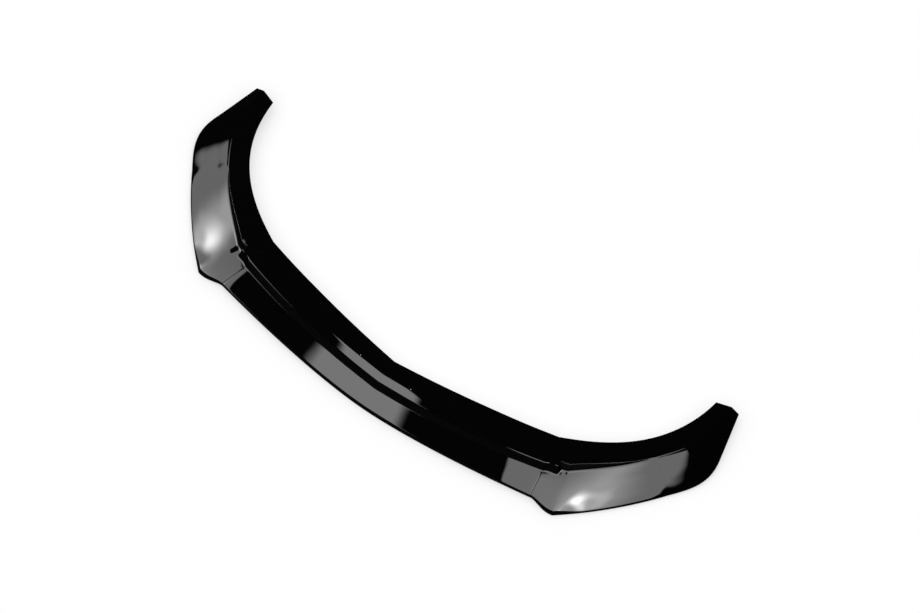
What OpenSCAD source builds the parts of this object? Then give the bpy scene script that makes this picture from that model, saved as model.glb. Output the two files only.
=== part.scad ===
// Front splitter lip for a car bumper: three gloss black mouldings, lapped and
// screwed together from below at two seams.
// The origin is under the middle of the lip, on the surface that it rests on.
// X runs across the car, -Y points forwards and +Z points up.

/* [Plan form] */
// Depth from the middle of the front edge back to the tips
depth = 583; // [540:1:620]
// Half of the width across the knees, at the bottom edge
half_width = 851; // [800:1:900]
// Half of the width of the centre moulding, along its front edge
seam_x = 516; // [460:1:545]
// How far the seam's front end lies behind the middle of the front edge
seam_back = 62; // [40:1:80]
// How far inboard the rear end of the seam lies of its front end
seam_lean = 37; // [15:1:60]
// How far behind the front end the rear end of the seam lies
seam_run = 174; // [160:1:200]
// Depth of the centre moulding in the middle
centre_chord = 146; // [130:1:165]
// How far outboard of the seam the pointed front corner lies
corner_out = 77; // [60:1:90]
// How far the pointed corner reaches forwards of the seam
corner_reach = 7; // [0:1:15]
// How far back the middle of the knee lies
knee_back = 373; // [350:1:395]
// Half length of the rounded knee along the side
knee_half = 85; // [60:1:105]
// How far inboard of the knees the outer corners of the tips lie
tip_in = 41; // [20:1:70]
// Width of each tip
tip_w = 65.5; // [50:0.5:85]
// How far forwards of its outer corner the inner corner of a tip lies
tip_skew = 12; // [0:1:20]
// How far the corner in the end edge of a tip sticks out
tip_bow = 5.5; // [0:0.5:8]

/* [Heights] */
// Height of the front face
face_h = 15; // [13:0.5:20]
// Height of the thin outer edge of the wings
side_h = 8; // [7.5:0.5:10]
// Rise of the blade from the front face to the foot of the step
blade_rise = 3; // [0:0.5:6]
// Height of the step behind the blade
step_h = 20; // [14:0.5:24]
// Rise of the platform behind the step
platform_rise = 4; // [1:0.5:6]
// Rise of the rear flange at the centre, which turns into a fall at the seam
flange_rise = 1.5; // [0:0.5:4]
// Height of the crease of the wings
crease_h = 37; // [34:0.5:40]
// Height of the inner edge of the wings
inner_h = 41; // [38:0.5:44]
// How far the outer corners of the tips are raised off the ground
tip_lift = 19; // [10:1:30]
// How much lower the inner edge lies at the tips than at the knee
tip_drop = 5; // [0:0.5:8]

/* [Section] */
// Wall of the mouldings
wall = 3; // [2.5:0.1:3.4]
// Width of the bottom return behind the front face
return_w = 14; // [10:0.5:18]
// How far the front face leans back at the middle of the lip
centre_lean = 3.5; // [0:0.5:6]
// How far the front face leans back at the pointed corner
corner_lean = 6; // [2:0.5:8]
// Width of the blade at the middle of the lip
blade_w = 61; // [54:0.5:68]
// Width of the blade at the seam
blade_seam_w = 80; // [72:0.5:86]
// How strongly the lines behind the blade bend at the middle of the lip
centre_kink = 30; // [0:1:40]
// Depth of the sloping step face
step_run = 12; // [9:0.5:15]
// Depth of the platform behind the step
platform_w = 22; // [16:0.5:28]
// Depth that is left of the platform behind the crease of the wings
fade_w = 10; // [6:0.5:14]
// Softness of the bottom edge
bottom_soft = 2.5; // [1.5:0.1:3]
// Softness of the top front edge
edge_soft = 3.2; // [2:0.1:4]
// Softness of the foot of the step
foot_soft = 4; // [2:0.1:6]
// Softness of the ridge of the step
ridge_soft = 3.2; // [2:0.1:4]
// Softness of the crease behind the platform
crease_soft = 4; // [2:0.1:6]

/* [Rib on the wings] */
// Length of the rib past the seam
rib_len = 47; // [35:1:55]
// Length of the rib's blunt end
rib_end = 9; // [6:0.5:12]
// How much the rib's ridge rises between the seam and its end
rib_rise = 2.5; // [0:0.5:6]
// How much wider the blade is at the end of the rib than at the seam
rib_spread = 25; // [10:1:30]

/* [Joints] */
// Gap of the seam
seam_gap = 0.8; // [0.4:0.1:1.2]
// Length of the tongue under the wing
lap = 30; // [24:1:36]
// Clearance between the tongue and the wing above it
lap_clear = 0.3; // [0.2:0.05:0.6]
// Distance of the joint screws from the seam
screw_in = 15; // [12:0.5:18]
// Distances of the joint screws behind the front edge
screw_back_a = 24; // [20:1:30]
screw_back_b = 60; // [50:1:66]
screw_back_c = 140; // [125:1:150]
// Diameter of the screw shank
screw_d = 3.9; // [3:0.1:4.5]
// Radial clearance round the shank
shank_clear = 0.1; // [0.05:0.05:0.2]
// How far the bosses stop short of the washers
boss_short = 0.1; // [0.05:0.05:0.3]
// Wall of the screw bosses
boss_wall = 2.2; // [1.8:0.1:3]
// Radial clearance round the bosses in the tongue
boss_clear = 0.4; // [0.2:0.1:0.6]
// Depth of the flat seats under the tongue
seat_h = 2.4; // [1.6:0.1:3]
// Diameter of the washers
washer_d = 14; // [12:0.5:16]
// Thickness of the washers
washer_t = 1; // [0.8:0.1:1.5]
// Radial clearance of the shank in the washers
washer_clear = 0.2; // [0.1:0.05:0.4]
// Diameter of the screw heads
head_d = 8; // [7:0.1:9]
// Height of the screw heads
head_h = 2.4; // [2:0.1:3]

/* [Mounting holes] */
// Distance between the two mounting holes
hole_spacing = 168; // [140:1:190]
// Diameter of the mounting holes
hole_d = 3.2; // [3:0.1:5]
// Distance of the holes behind the platform crease
hole_back = 6.5; // [5:0.5:10]

/* [Hidden] */
gloss_black = "#141415";
zinc = "#b9bcc0";

// Stations of the loft run from 0 in the middle to 1 at the seam, 2 at the
// pointed corner, 3 and 4 at the two ends of the knee, and 5 at the tip.
SEAM = 1;
CORNER = 2;
KNEE_A = 3;
KNEE_B = 4;
TIP = 5;

// Plan points, with y counted from the middle of the front edge
seam_front = [seam_x, seam_back];
seam_rear = [seam_x - seam_lean, seam_back + seam_run];
corner = [seam_x + corner_out, seam_back - corner_reach];
knee_front = [mix(corner[0], half_width, 0.8), knee_back - knee_half];
knee_rear = [half_width - tip_in * 0.15, knee_back + knee_half];
tip_outer = [half_width - tip_in, depth];
tip_inner = tip_outer - [tip_w, tip_skew];
rear_mid = [0, centre_chord];

function clamp01(t) = min(1, max(0, t));
function steps(a, b, n) = [for (i = [1 : n]) mix(a, b, i / n)];
function ease(t) = let(c = clamp01(t)) c * c * (3 - 2 * c);
function ramp(g, a, b) = ease((g - a) / (b - a));
function mix(a, b, t) = a + (b - a) * t;
function bezier2(a, b, c, t) = a * (1 - t) * (1 - t) + b * 2 * t * (1 - t) + c * t * t;
function bezier3(a, b, c, d, t) =
    a * pow(1 - t, 3) + b * 3 * t * pow(1 - t, 2) + c * 3 * t * t * (1 - t) + d * pow(t, 3);

// Handle of a curve from a to b, as shares of its span in x and in y
function handle(a, b, share) = a + [(b[0] - a[0]) * share[0], (b[1] - a[1]) * share[1]];
function curve(a, b, from_a, from_b, t) = bezier3(a, handle(a, b, from_a), handle(b, a, from_b), b, t);

// Front and outer edge at the bottom, in plan
function outer_edge(g) =
    g <= SEAM ? curve([0, 0], seam_front, [0.28, 0], [0.315, 0.5], g)
    : g <= CORNER ? curve(seam_front, corner, [0.24, -0.3], [0.4, -1.25], g - SEAM)
    : g <= KNEE_A ? curve(corner, knee_front, [0.33, 0.255], [0.294, 0.392], g - CORNER)
    : g <= KNEE_B ? curve(knee_front, knee_rear, [0.96, 0.345], [-0.5, 0.427], g - KNEE_A)
    : mix(knee_rear, tip_outer, g - KNEE_B);

// Rear and inner edge, in plan
inner_share = [[SEAM, 0], [CORNER, 0.12], [KNEE_A, 0.6], [KNEE_B, 0.83], [TIP, 1]];
function inner_edge(g) =
    g <= SEAM
    ? bezier2(rear_mid, handle(rear_mid, seam_rear, [0.5, 0.322]), seam_rear, g)
    : curve(seam_rear, tip_inner, [0.523, 0.194], [0.053, 0.531], inner_pace(g));
// Pace along the inner edge, eased so that the sections turn evenly
function inner_pace(g) =
    let(a = floor(min(g, TIP - 0.001)), t = g - a)
    let(p0 = lookup(a, inner_share), p1 = lookup(a + 1, inner_share))
    let(m0 = pace_slope(a), m1 = pace_slope(a + 1))
    p0 * (1 + 2 * t) * pow(1 - t, 2) + m0 * t * pow(1 - t, 2) + p1 * t * t * (3 - 2 * t)
    - m1 * t * t * (1 - t);
function pace_slope(a) =
    a <= SEAM ? lookup(CORNER, inner_share)
    : a >= TIP ? 0.17
    : (lookup(a + 1, inner_share) - lookup(a - 1, inner_share)) / 2;

function chord(g) = norm(inner_edge(g) - outer_edge(g));
// Station that lies a distance past the seam, or before it when negative
front_speed = norm(outer_edge(SEAM) - outer_edge(SEAM - 0.05)) / 0.05;
side_speed = norm(outer_edge(SEAM + 0.5) - outer_edge(SEAM)) / 0.5;
function past_seam(d) = SEAM + d / (d < 0 ? front_speed : side_speed);
rib_stop = past_seam(rib_len);
rib_gone = past_seam(rib_len + rib_end);

// Station at which the pointed corner has faded into the side
CORNER_END = CORNER + 0.3;
// Stations between which the lean of the front face fades, and how late the
// tips curl up
LEAN_FADE = [0.1, 0.9];
TIP_CURL = 1.6;
// Shares of the chord that guide the crease from the corner to the tip
CREASE_SHARES = [0.57, 0.70, 0.66, 0.385];
// How far the crease is drawn forwards at the seam
CREASE_PULL = 6;
// How much lower it is at the seam, and how much higher at the knee
CREASE_SAG = 2;
CREASE_SWELL = 1;
// How far before and below the crease the blade of the wings stops
BLADE_STOP = [5, 1.6];
// Stations between which that blade rises to the flange, after lying level with
// the blade of the middle moulding, and how much further back it reaches there
BLADE_RISE = [1.85, 2.95];
BLADE_REACH = 8;
// Stations between which the platform fades into the flange
PLATFORM_FADE = [0.2, 0.78];
platform_top = face_h + blade_rise + step_h + platform_rise;

// Heights and widths of the section at a station
function bottom_z(g) = tip_lift * pow(clamp01((g - KNEE_A) / (TIP - KNEE_A)), TIP_CURL);
function face_z(g) = bottom_z(g) + mix(face_h, side_h, ramp(g, CORNER, CORNER_END));
function lean(g) =
    centre_lean * (1 - ramp(g, LEAN_FADE[0], LEAN_FADE[1]))
    + corner_lean * ramp(g, SEAM, CORNER) * (1 - ramp(g, CORNER, CORNER_END));
function rear_z(g) =
    g <= SEAM ? platform_top + mix(flange_rise, -flange_rise, ramp(g, 0, SEAM))
    : mix(platform_top - flange_rise, inner_h, ramp(g, SEAM, KNEE_A)) - tip_drop * ramp(g, KNEE_A, TIP);

// Crease of the wings
function risen(g) = ramp(g, BLADE_RISE[0], BLADE_RISE[1]);
function crease_s(g) =
    let(t = clamp01((g - CORNER) / (TIP - CORNER)), c = CREASE_SHARES)
    bezier3(c[0], c[1], c[2], c[3], t) * chord(g) - CREASE_PULL * (1 - ramp(g, SEAM, CORNER))
    + BLADE_REACH * (1 - risen(g));
function crease_full_z(g) =
    mix(crease_h - CREASE_SAG, crease_h + CREASE_SWELL, ramp(g, SEAM + 0.5, KNEE_A))
    - CREASE_SWELL * ramp(g, KNEE_A, TIP);

// Blade: level as far as the pointed corner, where it carries the rib, and then
// rising to the crease
function blade_end_s(g) = crease_s(g) - BLADE_STOP[0];
function blade_end_z(g) =
    let(level = face_h + blade_rise * blade_end_s(g) / blade_seam_w)
    mix(level, crease_full_z(g) - BLADE_STOP[1], risen(g));
function blade_z(g, s) =
    g <= SEAM ? face_h + blade_rise * (s - lean(g)) / (foot_s(g) - lean(g))
    : mix(face_z(g), blade_end_z(g), (s - lean(g)) / (blade_end_s(g) - lean(g)));

// Step behind the blade, which runs on as a rib across the start of the wings
function rib(g) = 1 - ramp(g, rib_stop, rib_gone);
function foot_s(g) =
    g <= SEAM ? mix(blade_w, blade_seam_w, g * g) + centre_kink * g * pow(1 - g, 4)
    : mix(blade_end_s(g), blade_seam_w + rib_spread * clamp01((g - SEAM) / (rib_stop - SEAM)), rib(g));
function ridge_s(g) = g <= SEAM ? foot_s(g) + step_run : mix(crease_s(g), foot_s(g) + step_run, rib(g));
function ridge_z(g) =
    let(top = face_h + blade_rise + step_h + rib_rise * ramp(g, SEAM, rib_stop))
    g <= SEAM ? top : mix(blade_end_z(g) + BLADE_STOP[1], top, rib(g));

// Platform behind the step
function platform_s(g) = ridge_s(g) + mix(platform_w, fade_w, ramp(g, SEAM, CORNER));
function faded_z(g) = mix(ridge_z(g), rear_z(g), platform_w / (chord(g) - ridge_s(g)));
function platform_z(g) =
    g <= SEAM ? mix(platform_top, faded_z(g), ramp(g, PLATFORM_FADE[0], PLATFORM_FADE[1]))
    : let(flat = mix(crease_full_z(g), rear_z(g), fade_w / (chord(g) - crease_s(g))))
      mix(faded_z(SEAM), flat, ramp(g, SEAM, CORNER));

// Section as a line of sharp corners, from the tip of the bottom return round
// the front face and back to the rear edge
BLADE_SHARES = [0.25, 0.5, 0.75];
FLANGE_SHARES = [0.33, 0.67];
function keyline(g) =
    let(z0 = bottom_z(g), top = [lean(g), face_z(g)], foot = [foot_s(g), blade_z(g, foot_s(g))])
    let(ridge = [ridge_s(g), ridge_z(g)], back = [platform_s(g), platform_z(g)])
    let(rear = [chord(g), rear_z(g)])
    concat([[return_w, z0], [0, z0], top],
           [for (f = BLADE_SHARES) let(s = mix(top[0], foot[0], f)) [s, blade_z(g, s)]],
           [foot, ridge, back],
           [for (f = FLANGE_SHARES) mix(back, rear, f)],
           [rear]);
// Number of points that each corner of the keyline gets, and its softness
CORNER_POINTS = [1, 4, 5, 1, 1, 1, 4, 5, 4, 1, 1, 1];
SOFTNESS = [0, bottom_soft, edge_soft, 0, 0, 0, foot_soft, ridge_soft, crease_soft, 0, 0, 0];

function unit(v) = v / norm(v);
function soft_corner(a, b, c, soft, n) =
    n == 1 ? [b]
    : let(p = b + unit(a - b) * min(soft, 0.45 * norm(a - b)))
      let(q = b + unit(c - b) * min(soft, 0.45 * norm(c - b)))
      [for (i = [0 : n - 1]) bezier2(p, b, q, i / (n - 1))];
function softened(line, share) =
    [for (i = [0 : len(line) - 1])
        each soft_corner(line[max(0, i - 1)], line[i], line[min(len(line) - 1, i + 1)],
                         SOFTNESS[i] * share, CORNER_POINTS[i])];

// A line moved sideways into the wall by w, with mitred corners
function side(a, b) = let(d = unit(b - a)) [d[1], -d[0]];
function inset(line, w) =
    [for (i = [0 : len(line) - 1])
        let(m = side(line[max(0, i - 1)], line[max(1, i)]))
        let(n = side(line[min(len(line) - 2, i)], line[min(len(line) - 1, i + 1)]))
        line[i] + (m + n) * (w / (1 + m * n))];

// The end edge of a tip has a corner at a share of its width, and stands out
// there; the sections before it follow
TIP_CORNER = 0.37;
TIP_BOW_START = 4.5;
function stand_out(g, s) =
    tip_bow * ramp(g, TIP_BOW_START, TIP)
    * min(s / (TIP_CORNER * chord(g)), (chord(g) - s) / ((1 - TIP_CORNER) * chord(g)));

// Closed ring of a section: outer line at one depth, inner line at another.
// The hidden tongue keeps nearly sharp corners, so that the wing clears it.
TONGUE_SOFTNESS = 0.2;
function ring(g, outer_in, inner_in) =
    let(line = keyline(g), share = outer_in > 0 ? TONGUE_SOFTNESS : 1)
    let(a = outer_edge(g), dir = unit(inner_edge(g) - a))
    [for (p = concat(softened(outer_in > 0 ? inset(line, outer_in) : line, share),
                     inset(line, inner_in)))
        [a[0] + dir[0] * p[0], a[1] + dir[1] * p[0] + stand_out(g, p[0]) - depth / 2, p[1]]];

function sum_to(list, n) = n <= 0 ? 0 : list[n - 1] + sum_to(list, n - 1);
OUTER_COUNT = sum_to(CORNER_POINTS, len(CORNER_POINTS));
INNER_COUNT = len(CORNER_POINTS);
RING_COUNT = OUTER_COUNT + INNER_COUNT;

// Order of the ring's points: outer line forwards, inner line backwards
LOOP = concat([for (i = [0 : OUTER_COUNT - 1]) i],
              [for (i = [INNER_COUNT - 1 : -1 : 0]) OUTER_COUNT + i]);
function cap(base) =
    [for (k = [0 : INNER_COUNT - 1])
        let(first = sum_to(CORNER_POINTS, k), last = first + CORNER_POINTS[k] - 1)
        each concat([for (i = [first : 1 : last - 1]) [base + i, base + i + 1, base + OUTER_COUNT + k]],
                    k == INNER_COUNT - 1 ? []
                    : [[base + last, base + last + 1, base + OUTER_COUNT + k + 1],
                       [base + last, base + OUTER_COUNT + k + 1, base + OUTER_COUNT + k]])];
function flipped(faces) = [for (f = faces) [for (i = [len(f) - 1 : -1 : 0]) f[i]]];

// Skin through a row of rings that run towards +X, each patch of it split
// along its shorter diagonal
module loft(rings) {
    pts = [for (r = rings) each r];
    last = (len(rings) - 1) * RING_COUNT;
    walls = [for (r = [0 : len(rings) - 2], i = [0 : RING_COUNT - 1])
        let(j = (i + 1) % RING_COUNT, k = r * RING_COUNT)
        let(a = k + LOOP[i], b = k + LOOP[j], c = b + RING_COUNT, d = a + RING_COUNT)
        each (norm(pts[c] - pts[a]) < norm(pts[d] - pts[b]) ? [[a, b, c], [a, c, d]]
              : [[a, b, d], [b, c, d]])];
    polyhedron(pts, concat(walls, flipped(cap(0)), cap(last)), convexity = 10);
}

// Middle moulding
CENTRE_STEPS = 12;
// How much the sections crowd towards the middle
CENTRE_CROWDING = 1.15;
SHOULDER = past_seam(-seam_gap / 2);
// The tongue starts a hair beyond the shoulder, so that the end face is upright
HAIR = 0.0002;
TONGUE_STEPS = 3;
tongue_stations = steps(SEAM, past_seam(lap), TONGUE_STEPS);
function mirrored(r) = [for (p = r) [-p[0], p[1], p[2]]];
tongue_top = wall + lap_clear;
tongue_under = 2 * wall + lap_clear;
half_rings = concat(
    [for (i = [0 : CENTRE_STEPS]) ring(past_seam(-lap) * pow(i / CENTRE_STEPS, CENTRE_CROWDING), 0, wall)],
    [ring(past_seam(-lap / 2), 0, wall)],
    [ring(past_seam(-lap / 4), 0, tongue_under)],
    [ring(SHOULDER, 0, tongue_under)],
    [ring(SHOULDER + HAIR, tongue_top, tongue_under)],
    [for (g = tongue_stations) ring(g, tongue_top, tongue_under)]);
centre_rings = concat([for (i = [len(half_rings) - 1 : -1 : 1]) mirrored(half_rings[i])], half_rings);

// Places of the joint screws
SCREW_BACKS = [screw_back_a, screw_back_b, screw_back_c];
screw_g = past_seam(screw_in);
boss_d = screw_d + 2 * (shank_clear + boss_wall);
boss_hole_d = boss_d + 2 * boss_clear;
seat_d = washer_d + 1;
function skin_z(g, s) = lookup(s, [for (i = [2 : INNER_COUNT - 1]) keyline(g)[i]]);
function seat_z(s) = skin_z(screw_g, s) - tongue_under - seat_h;
module at_screws() {
    a = outer_edge(screw_g);
    dir = unit(inner_edge(screw_g) - a);
    for (s = SCREW_BACKS)
        translate([a[0] + dir[0] * s, a[1] + dir[1] * s - depth / 2, seat_z(s)]) children();
}
module on_side(right) {
    if (right) children();
    else mirror([1, 0, 0]) children();
}

module center_lip() color(gloss_black) difference() {
    union() {
        loft(centre_rings);
        for (right = [false, true])
            on_side(right) at_screws() cylinder(h = seat_h + wall / 2, d = seat_d, $fn = 48);
    }
    for (right = [false, true])
        on_side(right) at_screws()
            translate([0, 0, -1]) cylinder(h = seat_h + 3 * wall, d = boss_hole_d, $fn = 48);
    mounting_holes();
}

hole_g = lookup(hole_spacing / 2, [for (i = [0 : 20]) [outer_edge(i / 20)[0], i / 20]]);
module mounting_holes() {
    hole_y = outer_edge(hole_g)[1] + platform_s(hole_g) + hole_back - depth / 2;
    for (x = [-hole_spacing / 2, hole_spacing / 2])
        translate([x, hole_y, face_h + step_h]) cylinder(h = step_h, d = hole_d, $fn = 40);
}

// Side moulding
LAP_END_STEPS = 2;
RIB_STEPS = 5;
CORNER_STEPS = 5;
CORNER_END_STEPS = 4;
SIDE_STEPS = 12;
KNEE_STEPS = 12;
TIP_STEPS = 5;
wing_stations = concat([past_seam(seam_gap / 2)],
                       tongue_stations,
                       steps(past_seam(lap), rib_stop, LAP_END_STEPS),
                       steps(rib_stop, rib_gone, RIB_STEPS),
                       steps(rib_gone, CORNER, CORNER_STEPS),
                       steps(CORNER, CORNER_END, CORNER_END_STEPS),
                       steps(CORNER_END, KNEE_A, SIDE_STEPS),
                       steps(KNEE_A, KNEE_B, KNEE_STEPS),
                       steps(KNEE_B, TIP, TIP_STEPS));
module wing(right) color(gloss_black) on_side(right) difference() {
    union() {
        loft([for (g = wing_stations) ring(g, 0, wall)]);
        at_screws() translate([0, 0, boss_short])
            cylinder(h = seat_h + tongue_under - boss_short - wall / 3, d = boss_d, $fn = 40);
    }
    at_screws() translate([0, 0, -1])
        cylinder(h = 1 + bore_depth, d = screw_d + 2 * shank_clear, $fn = 32);
}
bore_depth = seat_h + tongue_under - wall / 2;
// Room left above the end of the screws, and overlap of their shanks with the heads
screw_room = 0.5;
screw_depth = bore_depth - screw_room;
overlap = 0.1;

module left_wing() wing(false);
module right_wing() wing(true);

// Pan head screw: cross recess in the head, shank up into the boss. The shares
// are of the height of the head, then of its diameter.
HEAD_CONE = 0.45;
RECESS_DEPTH = 0.6;
HEAD_TOP = 0.8;
RECESS_LENGTH = 0.56;
RECESS_WIDTH = 0.12;
module joint_screw() {
    cone_h = head_h * HEAD_CONE;
    difference() {
        translate([0, 0, -washer_t - head_h]) {
            cylinder(h = cone_h, d1 = head_d * HEAD_TOP, d2 = head_d, $fn = 40);
            translate([0, 0, cone_h]) cylinder(h = head_h - cone_h, d = head_d, $fn = 40);
        }
        for (a = [0, 90])
            rotate(a)
                translate([-head_d * RECESS_LENGTH / 2, -head_d * RECESS_WIDTH / 2, -washer_t - head_h - 1])
                cube([head_d * RECESS_LENGTH, head_d * RECESS_WIDTH, 1 + head_h * RECESS_DEPTH]);
    }
    translate([0, 0, -washer_t - overlap]) cylinder(h = washer_t + overlap + screw_depth, d = screw_d, $fn = 32);
}
module joint_washer() difference() {
    translate([0, 0, -washer_t]) cylinder(h = washer_t, d = washer_d, $fn = 48);
    translate([0, 0, -washer_t - 1]) cylinder(h = washer_t + 2, d = screw_d + 2 * washer_clear, $fn = 32);
}
module left_joint_screws() color(zinc) on_side(false) at_screws() joint_screw();
module right_joint_screws() color(zinc) on_side(true) at_screws() joint_screw();
module left_joint_washers() color(zinc) on_side(false) at_screws() joint_washer();
module right_joint_washers() color(zinc) on_side(true) at_screws() joint_washer();

center_lip();
left_wing();
right_wing();
left_joint_screws();
right_joint_screws();
left_joint_washers();
right_joint_washers();
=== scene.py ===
"""Front splitter lip for a car bumper: three gloss black ABS mouldings, lapped
and screwed together from below at two seams, under three softboxes."""

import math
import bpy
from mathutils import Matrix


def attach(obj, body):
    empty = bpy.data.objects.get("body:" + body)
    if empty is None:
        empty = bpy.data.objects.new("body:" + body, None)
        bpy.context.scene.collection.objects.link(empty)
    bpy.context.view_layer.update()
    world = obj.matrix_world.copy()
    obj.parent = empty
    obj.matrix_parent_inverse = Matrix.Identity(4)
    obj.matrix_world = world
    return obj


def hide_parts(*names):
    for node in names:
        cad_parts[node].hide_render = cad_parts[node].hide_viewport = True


bl_info = {
    "name": "Front Splitter Lip",
    "version": (1, 0, 0),
    "blender": (4, 5, 0),
    "location": "3D View > Sidebar > Splitter",
    "description": "Builds a three-piece front splitter lip and its studio",
    "category": "Object",
}

import bmesh
import bpy
from bpy.props import FloatProperty, PointerProperty, StringProperty
from mathutils import Matrix, Vector

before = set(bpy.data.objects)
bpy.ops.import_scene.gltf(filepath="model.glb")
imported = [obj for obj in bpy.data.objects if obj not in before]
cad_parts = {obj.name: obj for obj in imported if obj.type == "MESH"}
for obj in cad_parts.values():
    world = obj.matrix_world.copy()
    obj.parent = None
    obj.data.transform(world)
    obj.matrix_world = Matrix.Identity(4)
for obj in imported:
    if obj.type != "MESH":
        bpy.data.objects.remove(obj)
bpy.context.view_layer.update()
MM = 0.001

# Stations along the lip: 0 in the middle, then the seam, the pointed corner,
# the two ends of the knee, and the tip
SEAM = 1.0
CORNER = 2.0
KNEE_A = 3.0
KNEE_B = 4.0
TIP = 5.0


# Small maths


def mix(a, b, t):
    return a + (b - a) * t


def ease(t):
    t = min(1.0, max(0.0, t))
    return t * t * (3.0 - 2.0 * t)


def ramp(g, a, b):
    return ease((g - a) / (b - a))


def bezier2(a, b, c, t):
    return a * (1 - t) ** 2 + b * 2 * t * (1 - t) + c * t * t


def bezier3(a, b, c, d, t):
    return a * (1 - t) ** 3 + b * 3 * t * (1 - t) ** 2 + c * 3 * t * t * (1 - t) + d * t**3


def handle(a, b, share):
    """Handle of a curve from a to b, as shares of its span in x and in y."""
    return Vector((mix(a.x, b.x, share[0]), mix(a.y, b.y, share[1])))


def curve(a, b, from_a, from_b, t):
    return bezier3(a, handle(a, b, from_a), handle(b, a, from_b), b, t)


class LipForm:
    """The form of the lip in millimetres, as sections at stations along it."""

    # Shares of the width of the blade and of the flange at which the section
    # has a point
    BLADE = [i / 14 for i in range(1, 14)]
    FLANGE = [i / 9 for i in range(1, 9)]
    # Share of the way from the corner to the full width at which the knee
    # starts, and share of the tip's inset by which it ends short of that width
    KNEE_START = 0.8
    KNEE_SHORT = 0.15
    # Station at which the pointed corner has faded into the side
    CORNER_END = CORNER + 0.3
    # Stations between which the front face's lean fades off the middle
    LEAN_FADE = (0.1, 0.9)
    # How steeply the bottom edge rises to the tips
    TIP_RISE = 1.6
    # Shares of the chord at which the crease of the wings runs, as a curve, and
    # how far it is pulled forwards at the seam
    CREASE_SHARES = (0.57, 0.70, 0.66, 0.385)
    CREASE_PULL = 6.0
    # Stations between which the blade of the wings rises to the flange, after
    # lying level with the middle moulding's, and how much further back it
    # reaches there
    BLADE_RISE = (1.85, 2.95)
    BLADE_REACH = 8.0
    # Station from which the sections follow the corner in the end edge of a tip
    TIP_BOW_START = 4.5
    # Share of a tip's width at which that corner lies
    TIP_CORNER = 0.37
    # How far before and below the crease the blade of the wings stops
    BLADE_STOP = (5.0, 1.6)
    # Swell of the skin over each joint, where the lapped walls cooled slowly:
    # its height, its middle on the centre moulding and its reach to each side
    SWELL = 0.15
    SWELL_AT = 13.0
    SWELL_REACH = (35.0, 45.0)
    # Sink of the platform and of the flange's rear edge beside each joint, the
    # stations between which it grows, and those between which each fades again
    PLATFORM_SINK = 0.6
    FLANGE_SINK = 2.6
    SINK_GROWS = (0.55, 0.85)
    PLATFORM_SINK_FADE = (1.1, 1.5)
    FLANGE_SINK_FADE = (2.1, 2.9)
    # Sink of the front face, from just before the joint to the pointed corner
    FACE_SINK = 1.0
    FACE_SINK_START = SEAM - 0.1
    # Stations between which the middle platform sinks into the flange
    PLATFORM_FADE = (0.2, 0.78)
    # Share of the wings' platform that is gone once the blade has risen
    PLATFORM_TAPER = 0.9
    # Softness of the corner between step and flange on the wings
    WING_CREASE = 0.5
    # Largest share of a line's length that a rounded corner takes up
    ROUND_LIMIT = 0.45

    def __init__(self, plan, section):
        self.plan = plan
        self.sec = section
        p = plan
        self.seam_front = Vector((p.seam_x, p.seam_back))
        self.seam_rear = Vector((p.seam_x - p.seam_lean, p.seam_back + p.seam_run))
        self.corner = Vector((p.seam_x + p.corner_out, p.seam_back - p.corner_reach))
        knee_x = mix(self.corner.x, p.half_width, self.KNEE_START)
        self.knee_front = Vector((knee_x, p.knee_back - p.knee_half))
        self.knee_rear = Vector((p.half_width - p.tip_in * self.KNEE_SHORT, p.knee_back + p.knee_half))
        self.tip_outer = Vector((p.half_width - p.tip_in, p.depth))
        self.tip_inner = self.tip_outer - Vector((p.tip_w, p.tip_skew))
        self.rear_mid = Vector((0.0, p.centre_chord))
        self.front_speed = (self.outer_edge(SEAM) - self.outer_edge(SEAM - 0.05)).length / 0.05
        self.side_speed = (self.outer_edge(SEAM + 0.5) - self.outer_edge(SEAM)).length / 0.5
        self.rib_stop = self.past_seam(section.rib_len)
        self.rib_gone = self.past_seam(section.rib_len + section.rib_end)

    # Plan

    def outer_edge(self, g):
        if g <= SEAM:
            return curve(Vector((0.0, 0.0)), self.seam_front, (0.28, 0), (0.315, 0.5), g)
        if g <= CORNER:
            return curve(self.seam_front, self.corner, (0.24, -0.3), (0.4, -1.25), g - SEAM)
        if g <= KNEE_A:
            return curve(self.corner, self.knee_front, (0.33, 0.255), (0.294, 0.392), g - CORNER)
        if g <= KNEE_B:
            return curve(self.knee_front, self.knee_rear, (0.96, 0.345), (-0.5, 0.427), g - KNEE_A)
        return self.knee_rear.lerp(self.tip_outer, g - KNEE_B)

    def inner_edge(self, g):
        if g <= SEAM:
            bow = handle(self.rear_mid, self.seam_rear, (0.5, 0.322))
            return bezier2(self.rear_mid, bow, self.seam_rear, g)
        return curve(self.seam_rear, self.tip_inner, (0.523, 0.194), (0.053, 0.531), self.inner_pace(g))

    def inner_pace(self, g):
        """Pace along the inner edge, eased so that the sections turn evenly."""
        shares = (0.0, 0.12, 0.6, 0.83, 1.0)
        k = min(int(g - SEAM), 3)
        t = g - SEAM - k
        slopes = (0.12, 0.3, 0.355, 0.2, 0.17)
        return (
            shares[k] * (1 + 2 * t) * (1 - t) ** 2
            + slopes[k] * t * (1 - t) ** 2
            + shares[k + 1] * t * t * (3 - 2 * t)
            - slopes[k + 1] * t * t * (1 - t)
        )

    def chord(self, g):
        return (self.inner_edge(g) - self.outer_edge(g)).length

    def past_seam(self, d):
        """Station a distance past the seam, or before it when negative."""
        return SEAM + d / (self.front_speed if d < 0 else self.side_speed)

    # Heights and widths

    def bottom_z(self, g):
        up = min(1.0, max(0.0, (g - KNEE_A) / (TIP - KNEE_A)))
        return self.sec.tip_lift * up**self.TIP_RISE

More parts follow.
